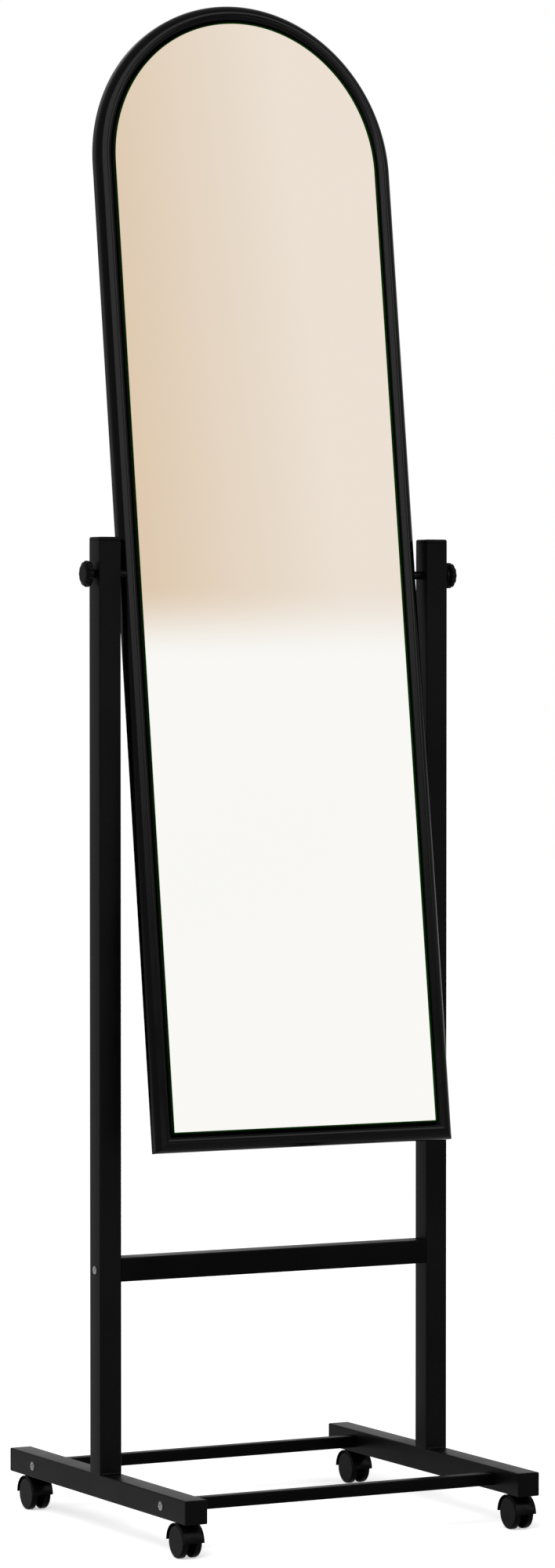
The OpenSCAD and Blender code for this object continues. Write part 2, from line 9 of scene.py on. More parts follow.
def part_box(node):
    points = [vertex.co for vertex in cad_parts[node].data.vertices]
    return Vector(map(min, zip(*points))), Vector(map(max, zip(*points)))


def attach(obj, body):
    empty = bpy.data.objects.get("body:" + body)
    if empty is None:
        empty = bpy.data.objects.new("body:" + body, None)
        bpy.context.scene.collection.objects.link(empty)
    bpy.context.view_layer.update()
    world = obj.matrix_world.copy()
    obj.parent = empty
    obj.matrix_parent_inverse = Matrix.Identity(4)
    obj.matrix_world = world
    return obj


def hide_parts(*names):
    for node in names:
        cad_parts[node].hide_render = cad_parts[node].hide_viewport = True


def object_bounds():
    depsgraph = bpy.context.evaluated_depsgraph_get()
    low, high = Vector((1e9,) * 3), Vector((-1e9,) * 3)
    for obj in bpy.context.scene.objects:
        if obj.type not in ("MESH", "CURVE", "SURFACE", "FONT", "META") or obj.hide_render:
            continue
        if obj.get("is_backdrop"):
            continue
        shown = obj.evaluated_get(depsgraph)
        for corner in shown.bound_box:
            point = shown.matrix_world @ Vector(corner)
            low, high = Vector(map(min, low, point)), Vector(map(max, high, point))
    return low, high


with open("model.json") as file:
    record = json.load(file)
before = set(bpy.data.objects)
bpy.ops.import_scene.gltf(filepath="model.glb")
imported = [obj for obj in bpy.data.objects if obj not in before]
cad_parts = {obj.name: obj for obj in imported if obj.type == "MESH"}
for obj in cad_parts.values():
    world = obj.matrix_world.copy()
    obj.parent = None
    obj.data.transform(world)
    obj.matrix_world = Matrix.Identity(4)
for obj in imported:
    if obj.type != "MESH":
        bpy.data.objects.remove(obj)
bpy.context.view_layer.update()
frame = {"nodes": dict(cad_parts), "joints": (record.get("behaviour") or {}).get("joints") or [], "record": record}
scene = bpy.context.scene

# ---------------------------------------------------------------- the view
# The photograph is a long-lens view from the left front, at about waist height. Place, turn and
# focal length were worked out from the straight edges of the stand.
PHOTO_HEIGHT = 2000
FOCAL_PIXELS = 7054.1
SENSOR = 36.0
CAMERA_PLACE = (-2.7440, -5.1759, 0.9477)
CAMERA_YAW = math.radians(28.0)
CAMERA_DIP = math.radians(1.632)

lens = bpy.data.cameras.new("photo_view")
lens.sensor_width = SENSOR
lens.lens = FOCAL_PIXELS / PHOTO_HEIGHT * SENSOR
camera = bpy.data.objects.new("photo_view", lens)
camera.location = CAMERA_PLACE
camera.rotation_euler = (math.pi / 2 - CAMERA_DIP, 0, -CAMERA_YAW)
scene.collection.objects.link(camera)
scene.camera = camera
scene.view_settings.view_transform = "Standard"

# ---------------------------------------------------------------- the light
# A plain white room. What the camera and the shiny surfaces see is white, the level that lights
# the object is lower, and one wide soft lamp makes the shadow on the floor.
WHITE = (1, 1, 1, 1)
ROOM_LEVEL = 0.62
LAMP_WIDTH = 3.0
LAMP_WATTS = 150.0
LAMP_PLACE = Vector((-2.4, -2.6, 4.2))
LAMP_AIM = Vector((0, 0, 0.7))


def looked_at(tree):
    """1 for rays of the camera, of reflections and through clear things, 0 for those that light."""
    rays = tree.nodes.new("ShaderNodeLightPath").outputs
    total = rays["Is Camera Ray"]
    for kind in ("Is Glossy Ray", "Is Transmission Ray"):
        either = tree.nodes.new("ShaderNodeMath")
        either.operation = "MAXIMUM"
        tree.links.new(total, either.inputs[0])
        tree.links.new(rays[kind], either.inputs[1])
        total = either.outputs[0]
    return total


def spread(tree, value, low, high, start=0.3, stop=0.7, smooth=False):
    """Maps a value from the range start to stop, by default a noise's, to the range low to high."""
    fit = tree.nodes.new("ShaderNodeMapRange")
    if smooth:
        fit.interpolation_type = "SMOOTHSTEP"
    for label, end in (("From Min", start), ("From Max", stop), ("To Min", low), ("To Max", high)):
        fit.inputs[label].default_value = end
    tree.links.new(value, fit.inputs["Value"])
    return fit.outputs["Result"]


room = bpy.data.worlds.new("white_room")
room.use_nodes = True
scene.world = room
tree = room.node_tree
tree.nodes.clear()
sky = tree.nodes.new("ShaderNodeBackground")
sky.inputs["Color"].default_value = WHITE
tree.links.new(spread(tree, looked_at(tree), ROOM_LEVEL, 1.0, 0.0, 1.0), sky.inputs["Strength"])
tree.links.new(sky.outputs[0], tree.nodes.new("ShaderNodeOutputWorld").inputs["Surface"])

lamp_data = bpy.data.lights.new("soft_lamp", "AREA")
lamp_data.size = LAMP_WIDTH
lamp_data.energy = LAMP_WATTS
lamp = bpy.data.objects.new("soft_lamp", lamp_data)
lamp.location = LAMP_PLACE
lamp.rotation_euler = (LAMP_AIM - LAMP_PLACE).to_track_quat("-Z", "Y").to_euler()
lamp.visible_glossy = False
scene.collection.objects.link(lamp)

# ---------------------------------------------------------------- floor and facing wall
# A plain pale floor that keeps the object's shadow, and a plain warm wall behind the camera, which
# shows only in reflections. Four soft cards stand before it, clear of the part that the glass shows
# in the photograph's view, and give the black coats their long highlights.
FLOOR_HALF = 14.0
FLOOR_COLOUR = (0.86, 0.86, 0.86, 1)
FLOOR_GLOW = 0.5
WALL_Y = -9.0
WALL_X, WALL_Z = (1.0, 9.0), (-0.5, 9.0)
WALL_WARM = (0.71, 0.53, 0.355)
WALL_PALE = (0.85, 0.755, 0.66)
WALL_WHITE = (0.965, 0.95, 0.92, 1)
WALL_RISE = (3.28, 3.52)
WALL_ACROSS = (4.3, 5.2)
CARD_Y = -7.0
CARD_LEFT, CARD_RIGHT, CARD_LOW, CARD_HIGH = -5.4, 8.8, 1.9, 9.0
WINDOW_LEFT, WINDOW_RIGHT, WINDOW_HIGH = 3.15, 4.8, 4.9
CARD_FADE, CARD_LEVELS = (1.9, 2.9), (0.8, 6.5)
FOOT_CARD_X, FOOT_CARD_Z = (-5.4, 3.7), (0.3, 1.45)
FOOT_FADE, FOOT_LEVELS = (0.3, 1.1), (0.8, 4.0)


def flat_quad(name, corners):
    """A single rectangle, for the stage only."""
    mesh = bpy.data.meshes.new(name)
    mesh.from_pydata(corners, [], [(0, 1, 2, 3)])
    obj = bpy.data.objects.new(name, mesh)
    scene.collection.objects.link(obj)
    obj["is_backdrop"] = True
    return obj


def upright_quad(name, xs, y, zs):
    """A rectangle that stands facing the object and is seen only in reflections."""
    quad = flat_quad(name, [(xs[0], y, zs[0]), (xs[1], y, zs[0]),
                            (xs[1], y, zs[1]), (xs[0], y, zs[1])])
    quad.visible_camera = False
    quad.visible_diffuse = False
    quad.visible_shadow = False
    return quad


def bare_finish(obj, name):
    """An empty material on a stage object: its tree, and the socket that takes its shader."""
    finish = bpy.data.materials.new(name)
    finish.use_nodes = True
    finish.node_tree.nodes.clear()
    obj.data.materials.append(finish)
    out = finish.node_tree.nodes.new("ShaderNodeOutputMaterial")
    return finish.node_tree, out.inputs["Surface"]


def own_place(tree):
    """The object's own coordinates, as three sockets."""
    place = tree.nodes.new("ShaderNodeTexCoord")
    split = tree.nodes.new("ShaderNodeSeparateXYZ")
    tree.links.new(place.outputs["Object"], split.inputs[0])
    return split.outputs


def tones(tree, value, dark, light):
    """Colour that wanders between two close tones."""
    mix = tree.nodes.new("ShaderNodeMix")
    mix.data_type = "RGBA"
    mix.inputs["A"].default_value = (*dark, 1)
    mix.inputs["B"].default_value = (*light, 1)
    tree.links.new(value, mix.inputs["Factor"])
    return mix.outputs["Result"]


floor = flat_quad("floor", [(-FLOOR_HALF, -FLOOR_HALF, 0), (FLOOR_HALF, -FLOOR_HALF, 0),
                            (FLOOR_HALF, FLOOR_HALF, 0), (-FLOOR_HALF, FLOOR_HALF, 0)])
tree, surface = bare_finish(floor, "pale_floor")
matt = tree.nodes.new("ShaderNodeBsdfDiffuse")
matt.inputs["Color"].default_value = FLOOR_COLOUR
glow = tree.nodes.new("ShaderNodeEmission")
both = tree.nodes.new("ShaderNodeAddShader")
tree.links.new(spread(tree, looked_at(tree), 0.0, FLOOR_GLOW, 0.0, 1.0), glow.inputs["Strength"])
tree.links.new(matt.outputs[0], both.inputs[0])
tree.links.new(glow.outputs[0], both.inputs[1])
tree.links.new(both.outputs[0], surface)

wall = upright_quad("facing_wall", WALL_X, WALL_Y, WALL_Z)
tree, surface = bare_finish(wall, "warm_wall")
x, _, z = own_place(tree)
fade = tree.nodes.new("ShaderNodeMix")
fade.data_type = "RGBA"
fade.inputs["A"].default_value = WALL_WHITE
glow = tree.nodes.new("ShaderNodeEmission")
tree.links.new(tones(tree, spread(tree, x, 0.0, 1.0, *WALL_ACROSS), WALL_WARM, WALL_PALE),
               fade.inputs["B"])
tree.links.new(spread(tree, z, 0.0, 1.0, *WALL_RISE, smooth=True), fade.inputs["Factor"])
tree.links.new(fade.outputs["Result"], glow.inputs["Color"])
tree.links.new(glow.outputs[0], surface)


def soft_card(name, xs, zs, fade, levels):
    """An upright card seen only in reflections, its level rising between two heights."""
    tree, surface = bare_finish(upright_quad(name, xs, CARD_Y, zs), name)
    glow = tree.nodes.new("ShaderNodeEmission")
    _, _, z = own_place(tree)
    tree.links.new(spread(tree, z, *levels, *fade), glow.inputs["Strength"])
    tree.links.new(glow.outputs[0], surface)


for name, xs, z_from in (("card_left", (CARD_LEFT, WINDOW_LEFT), CARD_LOW),
                         ("card_right", (WINDOW_RIGHT, CARD_RIGHT), CARD_LOW),
                         ("card_top", (WINDOW_LEFT, WINDOW_RIGHT), WINDOW_HIGH)):
    soft_card(name, xs, (z_from, CARD_HIGH), CARD_FADE, CARD_LEVELS)
soft_card("card_foot", FOOT_CARD_X, FOOT_CARD_Z, FOOT_FADE, FOOT_LEVELS)

# ---------------------------------------------------------------- feet, posts and middle bar
# Square steel tube, sawn square, welded where a post stands on its foot, then powder coated in
# satin black. The coat has a very fine orange peel and a few dull rubbed patches. The middle bar is
# the same tube with a slightly darker coat, screwed between the posts.
TUBE_WALL = 0.0012
TUBE_CORNER = 0.0014
TUBE_EASE = 0.0003
CORNER_STEPS = 8
INNER_SHARPER = 3
POINT_ALIKE = 1e-6
WELD_ALIKE = 1e-7
NOISE_RANGE = (0.35, 0.7)
CLOUD_RANGE = (0.3, 0.7)


def shader(name, metallic, ior):
    """A new material, with its tree, its main shader and its object coordinates."""
    material = bpy.data.materials.new(name)
    material.use_nodes = True
    tree = material.node_tree
    main = tree.nodes["Principled BSDF"]
    main.inputs["Metallic"].default_value = metallic
    main.inputs["IOR"].default_value = ior
    place = tree.nodes.new("ShaderNodeTexCoord").outputs["Object"]
    return material, tree, main, place


def noise(tree, place, scale, detail, stretch=(1, 1, 1)):
    """Noise over the object's own coordinates, which are metres; scale is cells a metre."""
    turn = tree.nodes.new("ShaderNodeMapping")
    turn.inputs["Scale"].default_value = stretch
    grain = tree.nodes.new("ShaderNodeTexNoise")
    grain.inputs["Scale"].default_value = scale
    grain.inputs["Detail"].default_value = detail
    tree.links.new(place, turn.inputs["Vector"])
    tree.links.new(turn.outputs["Vector"], grain.inputs["Vector"])
    return grain.outputs["Fac"]


def relief(tree, main, height, depth, strength):
    """Raises and lowers the surface's shading by a height value, depth in metres."""
    bump = tree.nodes.new("ShaderNodeBump")
    bump.inputs["Distance"].default_value = depth
    bump.inputs["Strength"].default_value = strength
    tree.links.new(height, bump.inputs["Height"])
    tree.links.new(bump.outputs["Normal"], main.inputs["Normal"])


def mottled(name, metallic, ior, cloud, counts, dark, light, rough, grain=None):
    """A finish whose tone and roughness wander together over one noise, with a fine relief.

    cloud is the noise's scale, detail and stretch, counts the part of its range that is used, and
    grain the relief's scale, detail, depth in metres and strength.
    """
    material, tree, main, place = shader(name, metallic, ior)
    wander = spread(tree, noise(tree, place, *cloud), 0.0, 1.0, *counts)
    tree.links.new(tones(tree, wander, dark, light), main.inputs["Base Color"])
    tree.links.new(spread(tree, wander, *rough, 0.0, 1.0), main.inputs["Roughness"])
    if grain:
        scale, detail, depth, strength = grain
        relief(tree, main, noise(tree, place, scale, detail), depth, strength)
    return material


def powder_coat(name, ior, dark, light):
    """Satin black powder coat: orange peel about 1 mm across, and rubbed patches, duller."""
    return mottled(name, 0.0, ior, cloud=(9.0, 5.0), counts=NOISE_RANGE,
                   dark=(dark, dark, dark * 1.05), light=(light, light, light * 1.04),
                   rough=(0.30, 0.42), grain=(700.0, 2.0, 0.00004, 0.6))


coat = powder_coat("black_powder_coat", 1.10, 0.0013, 0.0024)
bar_coat = powder_coat("dull_powder_coat", 1.08, 0.0004, 0.0010)


def piece(name, mesh, material, body, replaced=(), sharp=30):
    """A finished mesh as a piece: smooth except at real edges, on its body, for its CAD nodes."""
    mesh.shade_smooth()
    mesh.set_sharp_from_angle(angle=math.radians(sharp))
    mesh.materials.clear()
    mesh.materials.append(material)
    obj = bpy.data.objects.new(name, mesh)
    scene.collection.objects.link(obj)
    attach(obj, body)
    if replaced:
        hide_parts(*replaced)


def loft(name, rings, closed=False):
    """Skin over rings of equal counts. An open skin is capped, unless its end is a point."""
    bm = bmesh.new()
    rows = [[bm.verts.new(point) for point in ring] for ring in rings]
    count = len(rings[0])
    following = rows[1:] + rows[:1] if closed else rows[1:]
    for low, high in zip(rows, following):
        for i in range(count):
            j = (i + 1) % count
            bm.faces.new((low[i], low[j], high[j], high[i]))
    if not closed:
        for ring, row in ((rings[0], rows[0]), (rings[-1], rows[-1])):
            if (Vector(ring[0]) - Vector(ring[count // 2])).length > POINT_ALIKE:
                bm.faces.new(row)
    bmesh.ops.remove_doubles(bm, verts=bm.verts, dist=WELD_ALIKE)
    bmesh.ops.recalc_face_normals(bm, faces=bm.faces)
    mesh = bpy.data.meshes.new(name)
    bm.to_mesh(mesh)
    bm.free()
    return mesh


def square_ring(half, corner):
    """Corner-rounded square as points, anticlockwise from the +U side."""
    points = []
    for quarter, (su, sv) in enumerate(((1, 1), (-1, 1), (-1, -1), (1, -1))):
        for step in range(CORNER_STEPS + 1):
            angle = math.pi / 2 * (quarter + step / CORNER_STEPS)
            points.append((su * (half - corner) + corner * math.cos(angle),
                           sv * (half - corner) + corner * math.sin(angle)))
    return points


def on_axis(axis, centre, ring, t):
    """Points of a ring set square to an axis, at the distance t along it."""
    at = {"X": lambda u, v: (t, centre[1] + u, centre[2] + v),
          "Y": lambda u, v: (centre[0] + u, t, centre[2] + v),
          "Z": lambda u, v: (centre[0] + u, centre[1] + v, t)}[axis]
    return [at(u, v) for u, v in ring]


def square_tube(name, node, axis, wall, corner):
    """The open tube that stands for a node, with its sawn ends eased."""
    low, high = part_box(node)
    k = "XYZ".index(axis)
    half = (high[(k + 1) % 3] - low[(k + 1) % 3]) / 2
    centre = (low + high) / 2
    outer, eased = square_ring(half, corner), square_ring(half - TUBE_EASE, corner)
    inner = square_ring(half - wall, corner / INNER_SHARPER)
    rings = [(inner, low[k]), (eased, low[k]), (outer, low[k] + TUBE_EASE),
             (outer, high[k] - TUBE_EASE), (eased, high[k]), (inner, high[k])]
    return loft(name, [on_axis(axis, centre, ring, t) for ring, t in rings], closed=True)


for side in ("left", "right"):
    piece(f"foot_tube_{side}", square_tube("foot", f"foot_{side}", "Y", TUBE_WALL, TUBE_CORNER),
          coat, "stand", [f"foot_{side}"])
    piece(f"post_tube_{side}", square_tube("post", f"post_{side}", "Z", TUBE_WALL, TUBE_CORNER),
          coat, "stand", [f"post_{side}"])
piece("middle_bar_tube", square_tube("bar", "mid_bar", "X", TUBE_WALL, TUBE_CORNER),
      bar_coat, "stand", ["mid_bar"])

# ---------------------------------------------------------------- post welds
# Each post is welded all round to the top of its foot. Beside the post the weld fills the foot's
# rounded corner and is ground flush, and in front and behind it is a small hollow fillet.
FILLET = 0.0014
FILLET_STEPS = 6


def hollow_corner(corner, leg_u, leg_v, radius):
    """Section of a small concave fillet: its corner and an arc between the ends of its two legs."""
    points = [corner]
    for step in range(FILLET_STEPS + 1):
        angle = math.pi / 2 * step / FILLET_STEPS
        points.append((corner[0] + leg_u * radius * (1 - math.sin(angle)),
                       corner[1] + leg_v * radius * (1 - math.cos(angle))))
    return points


for side in ("left", "right"):
    low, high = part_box(f"post_{side}")
    top = low.z
    middle = (low + high) / 2
    reach = (high.y - low.y) / 2 - TUBE_CORNER
    bm = bmesh.new()
    for direction, face in ((-1, low.y), (1, high.y)):
        section = hollow_corner((face, top), direction, 1, FILLET)
        rings = [[(x, u, v) for u, v in section]
                 for x in (middle.x - reach, middle.x + reach)]
        bm.from_mesh(loft("fillet", rings))
    for direction, face in ((-1, low.x), (1, high.x)):
        section = hollow_corner((face, top + TUBE_EASE), -direction, -1, TUBE_CORNER + TUBE_EASE)
        rings = [[(u, y, v) for u, v in section]
                 for y in (low.y + TUBE_CORNER, high.y - TUBE_CORNER)]
        bm.from_mesh(loft("fill", rings))
    weld = bpy.data.meshes.new(f"post_weld_{side}")
    bm.to_mesh(weld)
    bm.free()
    piece(f"post_weld_{side}", weld, coat, "stand", sharp=50)

# ---------------------------------------------------------------- base bars
# Two thin square tubes between the feet, cut from half-inch stock and coated like the middle bar.
# A screw through each foot pulls each of them tight.
BASE_BAR_WALL = 0.001
BASE_BAR_CORNER = 0.0012

for end in ("front", "rear"):
    piece(f"base_bar_tube_{end}",
          square_tube("base_bar", f"base_bar_{end}", "X", BASE_BAR_WALL, BASE_BAR_CORNER),
          bar_coat, "stand", [f"base_bar_{end}"])

# ---------------------------------------------------------------- tube caps
# Moulded black caps pushed into the tube ends: flush plates on the feet and a button with a
# rounded edge on each post. The moulded skin is a little glossier than the powder coat.
CAP_EDGE = 0.002
PLATE_EDGE = 0.0005
EDGE_STEPS = 6
CAP_DEPTH = 0.010
CAP_PLAY = 0.0001
CAP_SEAT = 0.0002
CAP_CORNER_LEAST = 0.0006
CAP_CORNER_SHRINK = 0.4


def moulded_plastic(name, dull, ior=1.09):
    """Black moulded plastic, about as rough as dull says: a fine even grain, soft flow marks."""
    return mottled(name, 0.0, ior, cloud=(40.0, 4.0, (1, 1, 0.3)), counts=NOISE_RANGE,
                   dark=(0.0010, 0.0010, 0.0011), light=(0.0020, 0.0020, 0.0021),
                   rough=(dull - 0.04, dull + 0.06), grain=(2200.0, 1.0, 0.00002, 0.5))


plastic = moulded_plastic("black_moulded_plastic", 0.3)


def cap(name, node, axis, outward, edge):
    """A cap's visible plate: square, as wide as the tube, with its outer edge rounded over."""
    low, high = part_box(node)
    k = "XYZ".index(axis)
    half = (high[(k + 1) % 3] - low[(k + 1) % 3]) / 2
    centre = (low + high) / 2
    face = high[k] if outward > 0 else low[k]
    seat = (low[k] + CAP_DEPTH) if outward > 0 else (high[k] - CAP_DEPTH)
    stem = square_ring(half - TUBE_WALL - CAP_PLAY, CAP_CORNER_LEAST)
    rings = [(stem, seat - outward * CAP_DEPTH), (stem, seat),
             (square_ring(half - CAP_SEAT, TUBE_CORNER), seat),
             (square_ring(half, TUBE_CORNER), seat + outward * CAP_SEAT)]
    for step in range(EDGE_STEPS + 1):
        angle = math.pi / 2 * step / EDGE_STEPS
        inset = edge * (1 - math.cos(angle))
        corner = max(TUBE_CORNER - inset * CAP_CORNER_SHRINK, CAP_CORNER_LEAST)
        rings.append((square_ring(half - inset, corner),
                      face - outward * edge * (1 - math.sin(angle))))
    return loft(name, [on_axis(axis, centre, ring, t) for ring, t in rings])


for side in ("left", "right"):
    piece(f"post_button_{side}", cap("button", f"post_cap_{side}", "Z", 1, CAP_EDGE),
          plastic, "stand", [f"post_cap_{side}"])
    for end, outward in (("front", -1), ("rear", 1)):
        piece(f"foot_plate_{end}_{side}",
              cap("plate", f"foot_cap_{end}_{side}", "Y", outward, PLATE_EDGE),
              plastic, "stand", [f"foot_cap_{end}_{side}"])

# ---------------------------------------------------------------- screws
# Zinc-plated machine screws with low domed heads and hexagon sockets hold the bars, and the same
# kind, smaller, holds the back panel and the corner brackets. One tree makes them all.
SCREW_SIDES = 48
HEAD_RINGS = 14
DOME_DROP = 0.7
SOCKET_DEPTH = 0.55
SOCKET_SIDES = 6
SCREW_SIZES = ("Head radius", "Head height", "Shank radius", "Shank length", "Socket width")
BASE_SCREW = (0.0047, 0.0016, 0.0025, 0.040, 0.003)
MIDDLE_SCREW = (0.0043, 0.0015, 0.0025, 0.040, 0.003)

# Zinc plate gone dull: grey metal with a faint cloudiness and a fine grain
zinc = mottled("grey_zinc", 1.0, 1.5, cloud=(260.0, 4.0), counts=CLOUD_RANGE,
               dark=(0.13, 0.135, 0.14), light=(0.20, 0.205, 0.21),
               rough=(0.22, 0.36), grain=(3000.0, 1.0, 0.00001, 0.4))


def screw_tree():
    """Geometry tree: a domed screw on every point, turned to the point's own facing."""
    tree = bpy.data.node_groups.new("screws", "GeometryNodeTree")
    sockets = tree.interface
    sockets.new_socket("Places", in_out="INPUT", socket_type="NodeSocketGeometry")
    for label in SCREW_SIZES:
        sockets.new_socket(label, in_out="INPUT", socket_type="NodeSocketFloat")
    sockets.new_socket("Finish", in_out="INPUT", socket_type="NodeSocketMaterial")
    sockets.new_socket("Screws", in_out="OUTPUT", socket_type="NodeSocketGeometry")
    given = tree.nodes.new("NodeGroupInput").outputs
    result = tree.nodes.new("NodeGroupOutput").inputs

    def calc(operation, a, b=None):
        node = tree.nodes.new("ShaderNodeMath")
        node.operation = operation
        for slot, value in zip(node.inputs, (a, b)):
            if isinstance(value, (int, float)):
                slot.default_value = value
            elif value is not None:
                tree.links.new(value, slot)
        return node.outputs[0]

    def barrel(radius, depth, rings):
        node = tree.nodes.new("GeometryNodeMeshCylinder")
        node.inputs["Vertices"].default_value = SCREW_SIDES
        node.inputs["Fill Segments"].default_value = rings
        tree.links.new(radius, node.inputs["Radius"])
        tree.links.new(depth, node.inputs["Depth"])
        return node.outputs["Mesh"]

    def moved(mesh, z):
        lift = tree.nodes.new("ShaderNodeCombineXYZ")
        tree.links.new(z, lift.inputs["Z"])
        node = tree.nodes.new("GeometryNodeTransform")
        tree.links.new(mesh, node.inputs["Geometry"])
        tree.links.new(lift.outputs[0], node.inputs["Translation"])
        return node.outputs["Geometry"]

    radius, height = given["Head radius"], given["Head height"]
    head = moved(barrel(radius, height, HEAD_RINGS), calc("MULTIPLY", height, 0.5))
    where = tree.nodes.new("ShaderNodeSeparateXYZ")
    tree.links.new(tree.nodes.new("GeometryNodeInputPosition").outputs[0], where.inputs[0])
    x, y, z = where.outputs
    from_axis = calc("SQRT", calc("ADD", calc("MULTIPLY", x, x), calc("MULTIPLY", y, y)))
    share = calc("DIVIDE", from_axis, radius)
    dome = calc("SUBTRACT", 1.0, calc("MULTIPLY", calc("MULTIPLY", share, share), DOME_DROP))
    turn = calc("PINGPONG", calc("ARCTAN2", y, x), math.pi / SOCKET_SIDES)
    across_flats = calc("MULTIPLY", from_axis, calc("COSINE", turn))
    inside = calc("LESS_THAN", across_flats, calc("MULTIPLY", given["Socket width"], 0.5))
    upper = calc("GREATER_THAN", z, calc("MULTIPLY", height, 0.5))
    sunk = calc("MULTIPLY", calc("MULTIPLY", inside, upper),
                calc("MULTIPLY", height, SOCKET_DEPTH))
    level = calc("SUBTRACT", calc("MULTIPLY", z, dome), sunk)
    shaped = tree.nodes.new("ShaderNodeCombineXYZ")
    for value, slot in zip((x, y, level), shaped.inputs):
        tree.links.new(value, slot)
    push = tree.nodes.new("GeometryNodeSetPosition")
    tree.links.new(head, push.inputs["Geometry"])
    tree.links.new(shaped.outputs[0], push.inputs["Position"])
    length = given["Shank length"]
    shank = moved(barrel(given["Shank radius"], length, 1), calc("MULTIPLY", length, -0.5))
    join = tree.nodes.new("GeometryNodeJoinGeometry")
    tree.links.new(push.outputs[0], join.inputs[0])
    tree.links.new(shank, join.inputs[0])
    facing = tree.nodes.new("GeometryNodeInputNamedAttribute")
    facing.data_type = "FLOAT_VECTOR"
    facing.inputs["Name"].default_value = "facing"
    align = tree.nodes.new("FunctionNodeAlignRotationToVector")
    tree.links.new(facing.outputs["Attribute"], align.inputs["Vector"])
    copies = tree.nodes.new("GeometryNodeInstanceOnPoints")
    tree.links.new(given["Places"], copies.inputs["Points"])
    tree.links.new(join.outputs[0], copies.inputs["Instance"])
    tree.links.new(align.outputs["Rotation"], copies.inputs["Rotation"])
    real = tree.nodes.new("GeometryNodeRealizeInstances")
    finish = tree.nodes.new("GeometryNodeSetMaterial")
    tree.links.new(copies.outputs["Instances"], real.inputs[0])
    tree.links.new(real.outputs[0], finish.inputs["Geometry"])
    tree.links.new(given["Finish"], finish.inputs["Material"])
    tree.links.new(finish.outputs[0], result[0])
    return tree


screws = screw_tree()


def from_tree(name, tree, mesh, sizes):
    """Runs a geometry tree on a mesh with the given named sizes, and returns the plain result."""
    holder = bpy.data.objects.new(name, mesh)
    scene.collection.objects.link(holder)
    modifier = holder.modifiers.new(name, "NODES")
    modifier.node_group = tree
    sockets = {item.name: item.identifier for item in tree.interface.items_tree}
    for label, value in sizes.items():
        modifier[sockets[label]] = value
    graph = bpy.context.evaluated_depsgraph_get()
    made = bpy.data.meshes.new_from_object(holder.evaluated_get(graph))
    bpy.data.objects.remove(holder)
    return made


def screw_set(name, places, body, replaced, sizes):
    """One piece with a screw at each (point, direction), its sizes in the order of SCREW_SIZES."""
    mesh = bpy.data.meshes.new(name)
    mesh.from_pydata([point for point, _ in places], [], [])
    facing = mesh.attributes.new("facing", "FLOAT_VECTOR", "POINT")
    for item, (_, direction) in zip(facing.data, places):
        item.vector = direction
    made = from_tree(name, screws, mesh, {**dict(zip(SCREW_SIZES, sizes)), "Finish": zinc})
    piece(name, made, zinc, body, replaced, sharp=40)


outer_x = {"left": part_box("foot_left")[0].x, "right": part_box("foot_right")[1].x}
away = {"left": Vector((-1, 0, 0)), "right": Vector((1, 0, 0))}
bar_middle = {node: sum(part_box(node), Vector()) / 2
              for node in ("base_bar_front", "base_bar_rear", "mid_bar")}
screw_set("base_bar_bolts",
          [((outer_x[side], bar_middle[bar].y, bar_middle[bar].z), away[side])
           for side in ("left", "right") for bar in ("base_bar_front", "base_bar_rear")],
          "stand", ["base_bar_screws"], BASE_SCREW)
screw_set("middle_bar_bolts",
          [((outer_x[side], 0, bar_middle["mid_bar"].z), away[side]) for side in ("left", "right")],
          "stand", ["mid_bar_screws"], MIDDLE_SCREW)

# ---------------------------------------------------------------- moulding
# A half-round aluminium bar, bent into a hoop over the arch, with a separate bottom rail mitred to
# its legs. A flat rebate runs behind the panel. It is coated in glossy black, and its hollow, which
# shows nowhere, isn't drawn.
MIRROR_TILT = math.radians(7.6)
MOULDING_RADIUS = 0.0098
MOULDING_BACK = -0.0108
MOULDING_WALL = 0.0015
REBATE = 0.008
CREST = 0.0056
MOULDING_EASE = 0.0004
EDGE_LAP = 0.0004
MITRE_LINE = 0.00004
ARCH_STEPS = 120
ROUND_STEPS = 36
GLASS_BOTTOM = -0.586
GLASS_TALL = 1.180

tilt_joint = next(joint for joint in frame["joints"] if joint["name"] == "mirror_tilt")
pivot = Vector(tilt_joint["pos_m"])
mirror_place = Matrix.Translation(pivot) @ Matrix.Rotation(-MIRROR_TILT, 4, "X")
glass_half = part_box("glass")[1].x
line_half = glass_half + MOULDING_RADIUS - EDGE_LAP
line_bottom = GLASS_BOTTOM - MOULDING_RADIUS + EDGE_LAP
arch_rise = GLASS_BOTTOM + GLASS_TALL - glass_half

# Black coat of the moulding: smoother than the stand's, with a very faint ripple
gloss = mottled("black_gloss_coat", 0.0, 1.14, cloud=(14.0, 5.0), counts=NOISE_RANGE,
                dark=(0.0005, 0.0005, 0.0006), light=(0.0010, 0.0010, 0.0011),
                rough=(0.10, 0.17), grain=(420.0, 2.0, 0.00002, 0.5))


def moulding_section():
    """Outline of the moulding as (outward, forward): rebate, back, outer side, round, inside."""
    middle = CREST - MOULDING_RADIUS
    points = [(-MOULDING_RADIUS - REBATE, MOULDING_BACK),
              (MOULDING_RADIUS - MOULDING_EASE, MOULDING_BACK),
              (MOULDING_RADIUS, MOULDING_BACK + MOULDING_EASE)]
    for step in range(ROUND_STEPS + 1):
        angle = math.pi * step / ROUND_STEPS
        points.append((MOULDING_RADIUS * math.cos(angle),
                       middle + MOULDING_RADIUS * math.sin(angle)))
    points.append((-MOULDING_RADIUS, MOULDING_BACK + MOULDING_WALL))
    points.append((-MOULDING_RADIUS - REBATE, MOULDING_BACK + MOULDING_WALL))
    return points


